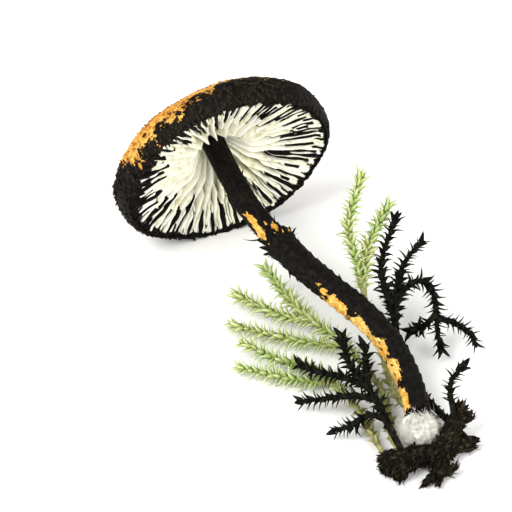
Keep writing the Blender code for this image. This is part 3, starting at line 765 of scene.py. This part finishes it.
hook_turn = np.array([facing(at, side) for at, side in zip(hook_rows[0], hook_rows[1])])
hook_roots, _, _ = on_stem(hook_rows[0], hook_turn, -0.4)
hooks = blades(hook_roots, hook_rows[2], hook_rows[3], hook_rows[4], hook_rows[5], 0.34, hook_rows[6],
               stations=9, belly=0.5, ink=DEEP_INK, lot=0.2)
rag_turn = draw.uniform(0, math.tau, RAGS)
rag_roots, rag_out, rag_up = on_stem(draw.uniform(RING_AT - 1, RING_AT + 2.5, RAGS), rag_turn, -0.1)
rags = blades(
    rag_roots, rag_up + rag_out * draw.uniform(0.1, 0.8, (RAGS, 1)), rag_out, draw.uniform(0.7, 1.6, RAGS),
    draw.uniform(0.12, 0.36, RAGS), 0.1, draw.uniform(-0.2, 0.7, RAGS), stations=5,
    ink=draw.uniform(0, 6, RAGS), lot=draw.uniform(0, 1, RAGS),
)
fringe_turn = np.arange(FRINGE) / FRINGE * math.tau
fringe_roots, fringe_out, fringe_up = on_stem(stem_length - draw.uniform(2.6, 5.0, FRINGE), fringe_turn, -0.2)
fringe = blades(
    fringe_roots, -fringe_up + fringe_out * draw.uniform(0.3, 0.6, (FRINGE, 1)), fringe_out,
    draw.uniform(2.2, 4.6, FRINGE), draw.uniform(0.3, 0.7, FRINGE), 0.14, 0.1, stations=5, belly=0.4,
    ink=DEEP_INK, lot=draw.uniform(0, 1, FRINGE),
)


def stem_colour(tree):
    grain = ramp(tree, mottle(tree, 1500, 4), (0.36, OCHRE_DARK), (0.48, OCHRE), (0.62, OCHRE_PALE))
    patches = ramp(tree, mottle(tree, 260, 2), (0.4, (0.72, 0.38, 0.06)), (0.64, (0.9, 0.66, 0.2)))
    mask, ink = inked(tree, STEM_RAGGED)
    return mixed(tree, mask, mixed(tree, 0.45, grain, patches), ink)


def stem_roughness(tree):
    return maths(tree, "SUBTRACT", 0.85, maths(tree, "MULTIPLY", inked(tree, STEM_RAGGED)[0], 0.22))


stem_skin = finish("inked scaly stem", stem_colour, stem_roughness, grained(2200, 0.5, 0.0002),
                   Specular_IOR_Level=INK_GLOSS)
mesh_piece(
    "scaly_stem",
    [stem_part, stem_scales(420, RING_AT + 2, stem_length - 7, 1.5, 0.3),
     stem_scales(190, 9.5, RING_AT - 1, 1.2, 0.45), flaps, hooks, rags, fringe],
    LAY, stem_skin, "stem",
)


# The foot: white felt, spun by the fungus round the stem's end, with fine threads that lie round it and
# curl back into it.
FOOT_CENTRE, FOOT_SIZE = np.array((79.9, 5.9, 4.6)), np.array((3.95, 3.8, 3.9))
FELT_ROWS, FELT_COLUMNS, HAIRS = 60, 90, 2600
UP_THE_STEM = -stem_frame[1][-6]


def round_grid(rows, columns):
    """Unit directions over a ball, as a grid from near one pole to near the other."""
    polar = np.linspace(0.02, math.pi - 0.02, rows)
    turn = np.linspace(0, math.tau, columns, endpoint=False)
    polar, turn = np.meshgrid(polar, turn, indexing="ij")
    return np.stack([np.sin(polar) * np.cos(turn), np.sin(polar) * np.sin(turn), np.cos(polar)], axis=-1)


def waist(directions):
    """How much narrower the foot is in directions up the stem, so that the stem shows where it enters."""
    return 1 - 0.6 * np.clip(directions @ UP_THE_STEM, 0, 1)[..., None] ** 1.3


ball = round_grid(FELT_ROWS, FELT_COLUMNS)
surface = ball.reshape(-1, 3) * 4.3
lumps = 0.8 * noise_at(surface, 0.35, 4, 3) + 0.3 * noise_at(surface, 1.8, 6, 2)
felt_points = FOOT_CENTRE + ball * (FOOT_SIZE + lumps.reshape(FELT_ROWS, FELT_COLUMNS, 1)) * waist(ball)
felt_part = (felt_points.reshape(-1, 3), closed_faces(FELT_ROWS, FELT_COLUMNS), {"tip": 0.0, "lot": 0.5})
out = unit(draw.normal(0, 1, (HAIRS, 3)))
upward = out @ UP_THE_STEM
out = np.where(upward[:, None] > 0.25, out - 2 * upward[:, None] * UP_THE_STEM, out)
hair_roots = FOOT_CENTRE + out * (FOOT_SIZE - 0.1) * waist(out)
lying = unit(np.cross(out, draw.normal(0, 1, (HAIRS, 3))))
felt_hairs = blades(
    hair_roots, lying + out * draw.uniform(0.15, 0.55, (HAIRS, 1)), out, draw.gamma(5, 0.3, HAIRS) + 0.4,
    draw.uniform(0.04, 0.08, HAIRS), 0.04, draw.uniform(-0.75, -0.2, HAIRS), stations=5,
    lot=draw.uniform(0, 1, HAIRS),
)


# the grey patches in the white felt's mottle are painted shade standing for creases, laid at random by noise
def felt_colour(tree):
    return ramp(tree, mottle(tree, 1300, 4), (0.36, (0.5, 0.47, 0.37)), (0.47, (0.78, 0.76, 0.68)),
                (0.62, (0.93, 0.92, 0.87)))


felt = finish("white felt", felt_colour, 0.95, grained(2600, 0.8, 0.0003), Sheen_Weight=0.3)
mesh_piece("woolly_foot", [felt_part, felt_hairs], LAY, felt, "foot_felt")


# The dead moss: old shoots matted into a dark clump, with stubs, rootlets and the last few leaves. The
# stubs are grown together into one lumpy body that bends round the foot and holds the ends of the shoots.
CLUMP_COLUMNS, CLUMP_STEP, CLUMP_GRAIN = 14, 0.8, 0.3
CLUMP = (
    # radius at the start and at the end of each stub, and its route
    (2.35, 1.6, ((84.4, -4.8, 2.3), (85.7, 1, 2.4), (86.3, 8, 2.4), (86.4, 15.2, 2))),
    (2, 1.35, ((86.5, 8, 3.4), (83.4, 12.4, 5.4), (80.9, 15.4, 7.4))),
    (1.6, 1.1, ((86, 9.5, 3.4), (83.2, 13.6, 4.9), (82.1, 16.8, 5.1))),
    (2.1, 1.2, ((86, 2, 2.6), (87.2, -0.8, 2.3), (88.8, -3.6, 1.8))),
    (2.1, 1.3, ((87, 8, 2.6), (89, 5.9, 2.2), (90.5, 4.2, 1.8))),
    (1, 0.4, ((89.5, 5.2, 2), (91.6, 2.4, 1.4), (92.6, 0.6, 1.2))),
    (1.1, 0.4, ((89.8, 6.6, 2), (92.2, 4.6, 1.4), (94.2, 2.4, 1.1))),
    (0.8, 0.6, ((90.6, 5.8, 1.5), (92.3, 6.2, 1.6), (92.2, 7.6, 2.6))),
)

stubs = []
for first, last, route in CLUMP:
    stubs.append(tube(
        route, lambda along: first + (last - first) * (along / along[-1]), CLUMP_COLUMNS, CLUMP_STEP,
    ))
stub_points, stub_faces = joined(stubs)
stub_mesh = bpy.data.meshes.new("stubs")
stub_mesh.from_pydata(stub_points.tolist(), [], stub_faces)
raw = bpy.data.objects.new("stubs", stub_mesh)
collection.objects.link(raw)
fuse = raw.modifiers.new("fuse", "REMESH")
fuse.mode = "VOXEL"
fuse.voxel_size = CLUMP_GRAIN
bpy.context.view_layer.update()
fused = bpy.data.meshes.new_from_object(raw.evaluated_get(bpy.context.evaluated_depsgraph_get()))
bpy.data.objects.remove(raw)
clump_points = np.array([v.co for v in fused.vertices])
clump_faces = [list(face.vertices) for face in fused.polygons]
clump_normals = np.array([v.normal for v in fused.vertices])
swell = 0.55 * noise_at(clump_points, 0.45, 2, 3) + 0.28 * noise_at(clump_points, 1.5, 5, 2)
clump_points = clump_points + clump_normals * swell[:, None]
clump_part = (clump_points, clump_faces, {"tip": 0.0, "lot": 0.5})
lie = np.zeros_like(clump_points)
for _, _, route in CLUMP:
    _, path, tangents, _, _ = smooth_route(route, CLUMP_STEP)
    gaps = np.linalg.norm(clump_points[:, None] - path[None], axis=2)
    lie += tangents[np.argmin(gaps, axis=1)] / (gaps.min(axis=1, keepdims=True) ** 4 + 0.1)
lie = unit(lie)


def on_clump(count, length, width, astray, curl):
    """Dead leaves and rootlets on the clump, which lie along its stubs more or less."""
    pick = draw.choice(len(clump_points), count, replace=False)
    out = clump_normals[pick]
    sunk = np.minimum(np.sum(lie[pick] * out, axis=1, keepdims=True), 0)
    along = unit(lie[pick] - 2 * sunk * out)
    along = unit(along + out * draw.uniform(0.02, 0.28, (count, 1)) + draw.normal(0, astray, (count, 3)))
    size = length * draw.gamma(6, 1 / 6, count)
    return blades(
        clump_points[pick] - out * 0.15, along, out, size, width * draw.uniform(0.6, 1.4, count), 0.09,
        draw.uniform(-0.6, 0.6, count) * curl, cup=0.3, belly=0.5, lot=draw.uniform(0, 1, count),
    )


def dead_moss_colour(tree):
    crumbs = ramp(tree, mottle(tree, 1100, 4), (0.42, INK), (0.6, (0.018, 0.013, 0.008)),
                  (0.74, (0.08, 0.065, 0.028)))
    leaf = ramp(tree, number(tree, "lot"), (0.0, INK), (0.7, (0.008, 0.007, 0.004)),
                (1.0, (0.085, 0.074, 0.032)))
    return mixed(tree, maths(tree, "MULTIPLY", number(tree, "tip"), 0.9), crumbs, leaf)


dead_moss = finish("matted dead moss", dead_moss_colour, 0.88, grained(1500, 0.8, 0.0004),
                   Specular_IOR_Level=INK_GLOSS)
dead_leaves = on_clump(2200, 1.0, 0.34, 0.2, 0.4)
rootlets = on_clump(220, 1.5, 0.07, 0.7, 1.0)
mesh_piece("dead_moss", [clump_part, dead_leaves, rootlets], LAY, dead_moss, "dead_moss_clump")


# The moss: wiry stems, bare and brown below, with rows of small pointed leaves that curve back from
# the stem. Some shoots are blackened by the ink, the others are fresh and green with pale leaf tips.
LEAFY, BARE = True, False
DARK_SHOOTS = {
    "moss_dark_back": (
        (BARE, ((87, 14, 3), (79, 13.6, 2.6), (68, 13, 3), (58, 14.4, 4.6), (50, 16.4, 7.2))),
        (LEAFY, ((52, 15.9, 6.4), (47, 17.6, 8.3), (41, 18.8, 10.5), (36.5, 20.6, 13), (31, 27, 19))),
        (LEAFY, ((52, 15.9, 6.4), (45, 19.5, 9), (41, 22.6, 10.8), (38.5, 25.5, 13), (37.5, 30, 16))),
        (LEAFY, ((49.5, 16.6, 7.4), (45, 20.5, 9.5), (46, 24, 13), (49, 25.8, 13), (52, 25.6, 9),
                 (54.5, 24.6, 5.6), (58.5, 23.5, 3))),
        (LEAFY, ((53, 25.2, 7.6), (55.5, 28, 7), (58, 30.6, 5), (60, 31, 3.2))),
        (LEAFY, ((52.5, 25.4, 8.4), (54, 22, 7.6), (55.4, 17.4, 8.4))),
    ),
    "moss_dark_front": (
        (BARE, ((87, -0.6, 3.2), (82, 0, 3.8), (75, 0.8, 4.8))),
        (LEAFY, ((77.5, 0.5, 4.4), (70, 1.4, 6), (63.5, 1.5, 6.8), (58, 1.2, 7.8), (51.5, 3, 9.2))),
        (LEAFY, ((65.5, 1.5, 6.6), (60.5, -1.5, 6.6), (56, -5, 6), (51.5, -7, 5.4))),
        (LEAFY, ((69.5, 1.4, 6), (65.5, -2, 5.4), (63, -7, 4.6), (60.5, -11, 3.6))),
        (LEAFY, ((75, 0.9, 5), (72, -1.6, 4.8), (72.6, -5.6, 4), (71.6, -9, 3.2))),
        (LEAFY, ((66, 1.5, 6.6), (62, 3.4, 8.8), (58.5, 4.6, 11))),
    ),
    "moss_dark_small": (
        (LEAFY, ((87, 10, 4), (84, 12, 6.8), (80.4, 13.2, 9.6), (78, 14.4, 12.2), (78, 17, 15.2))),
    ),
}
GREEN_SHOOTS = {
    "moss_green_back": (
        (BARE, ((87.4, 11.6, 1.8), (79, 11.6, 1.4), (68, 8.4, 1.6), (57, 10.6, 2.4), (48, 13.4, 6),
                (42, 13, 11))),
        (LEAFY, ((43, 13, 10.2), (38, 14, 15), (30, 16, 20), (22, 23, 25))),
        (LEAFY, ((43, 13, 10.2), (38.5, 15.5, 12.6), (33, 19, 14.6), (25.5, 28, 18))),
    ),
    "moss_green_upper": (
        (BARE, ((87, 2.2, 1.5), (79, 0.8, 1.3), (72, 3.4, 1.8), (64, 6, 2.8), (54, 5.6, 4))),
        (LEAFY, ((56, 5.7, 3.8), (47, 5, 4.6), (38, 2, 5.4), (29, 1.2, 6), (21, 0.6, 7.4))),
        (LEAFY, ((41, 3, 5.2), (32, -2.6, 4), (22, -7, 3.6))),
        (LEAFY, ((50, 5.2, 4.2), (41, -2.5, 3), (30, -12, 2.7))),
    ),
    "moss_green_lower": (
        (BARE, ((86.6, -3.3, 2.2), (79, -2.8, 1.8), (68, -1, 1.6), (60, -1, 2.2))),
        (LEAFY, ((62, -1, 2), (53, -2.6, 2.8), (46, -8.6, 3.2), (38, -13.4, 4))),
        (LEAFY, ((57, -1.8, 2.5), (53, -8, 2.7), (44, -17, 2.8))),
    ),
}
CLUMP_DEPTH, FORK_DEPTH = 8.0, 1.5
WIRE_COLUMNS, WIRE_STEP = 8, 0.6
TUFT = 0.15
# how far apart and how long leaves are against the fresh ones, and how fresh
FRESH, WITHERED = (1, 1, 1.0), (2.4, 0.62, 0.15)


def wire(route, thick, leafy):
    """The stem of one branch, tapering to its tip if it bears leaves."""
    points, faces, *_ = tube(
        route, lambda along: thick * (1 - 0.45 * (along / along[-1]) * leafy), WIRE_COLUMNS, WIRE_STEP,
        lambda along, turn: 0.05 * np.sin(along * 2.2 + 3 * turn),
    )
    return points, faces, {"tip": 0.0, "lot": 0.5, "leaf": 0.0}


def leaves(route, thick, bare, fresh, spacing, length, width, spread, recurve):
    """Leaves in a spiral along one branch, opening widely below and closing into a tuft at a fresh tip."""
    stations, path, tangents, sides, ups = smooth_route(route, spacing)
    keep = stations > bare
    run = stations[keep] / stations[-1]
    count = len(run)
    turn = np.arange(count) * GOLDEN_TURN + draw.normal(0, 0.15, count)
    out = sides[keep] * np.cos(turn)[:, None] + ups[keep] * np.sin(turn)[:, None]
    closing = np.clip((run - (1 - TUFT)) / TUFT, 0, 1) * fresh
    opening = np.radians(spread * (1 - 0.4 * closing) * draw.uniform(0.82, 1.12, count))[:, None]
    along = tangents[keep] * np.cos(opening) + out * np.sin(opening)
    inward = tangents[keep] * np.sin(opening) - out * np.cos(opening)
    size = length * draw.uniform(0.75, 1.15, count) * (0.72 + 0.28 * np.sin(math.pi * run) + 0.35 * closing)
    return blades(
        path[keep] + out * thick * 0.5, along, inward, size, width * size / length, 0.07,
        -recurve * draw.uniform(0.3, 1.3, count) * (1 - closing), cup=0.45, stations=5, belly=0.3,
        lot=draw.uniform(0, 1, count), leaf=fresh,
    )


def grow(shoots, material, slot, thick, spacing, length, **leaf):
    """Every shoot of one kind. A bare branch keeps some withered leaves."""
    for name, branches in shoots.items():
        parts = []
        for n, (leafy, route) in enumerate(branches):
            bare = CLUMP_DEPTH if n == 0 else FORK_DEPTH
            apart, size, fresh = FRESH if leafy else WITHERED
            parts.append(wire(route, thick, leafy))
            parts.append(leaves(route, thick, bare, fresh, spacing * apart, length * size, **leaf))
        mesh_piece("leafy_" + name, parts, LAY, material, name)


def dark_moss_colour(tree):
    return ramp(tree, mottle(tree, 800, 3), (0.4, INK), (0.66, (0.014, 0.015, 0.008)),
                (0.8, (0.035, 0.04, 0.016)))


def green_moss_colour(tree):
    blade = ramp(tree, number(tree, "tip"), (0.0, (0.15, 0.23, 0.04)), (0.42, (0.44, 0.54, 0.17)),
                 (1.0, (0.86, 0.89, 0.57)))
    olive = ramp(tree, mottle(tree, 120, 2), (0.38, (0.46, 0.45, 0.13)), (0.64, (0.3, 0.5, 0.1)))
    leaf = mixed(tree, maths(tree, "MULTIPLY", number(tree, "lot"), 0.62), blade, olive)
    brown = ramp(tree, mottle(tree, 600, 3), (0.35, (0.14, 0.12, 0.03)), (0.65, (0.36, 0.36, 0.12)))
    return mixed(tree, number(tree, "leaf"), brown, leaf)


dark_leaf = finish("blackened moss", dark_moss_colour, 0.75, grained(2400, 0.3, 0.0001),
                   Specular_IOR_Level=INK_GLOSS)
green_leaf = finish("green moss", green_moss_colour, 0.6, grained(2400, 0.25, 0.0001), Subsurface_Weight=0.1,
                    Subsurface_Radius=(0.0005, 0.0008, 0.0002), Subsurface_Scale=1.0)
grow(DARK_SHOOTS, dark_leaf, "dark_moss", thick=0.74, spacing=0.29, length=2.5, width=0.84, spread=54,
     recurve=0.3)
grow(GREEN_SHOOTS, green_leaf, "green_moss", thick=0.56, spacing=0.24, length=2.95, width=0.82, spread=52,
     recurve=0.26)
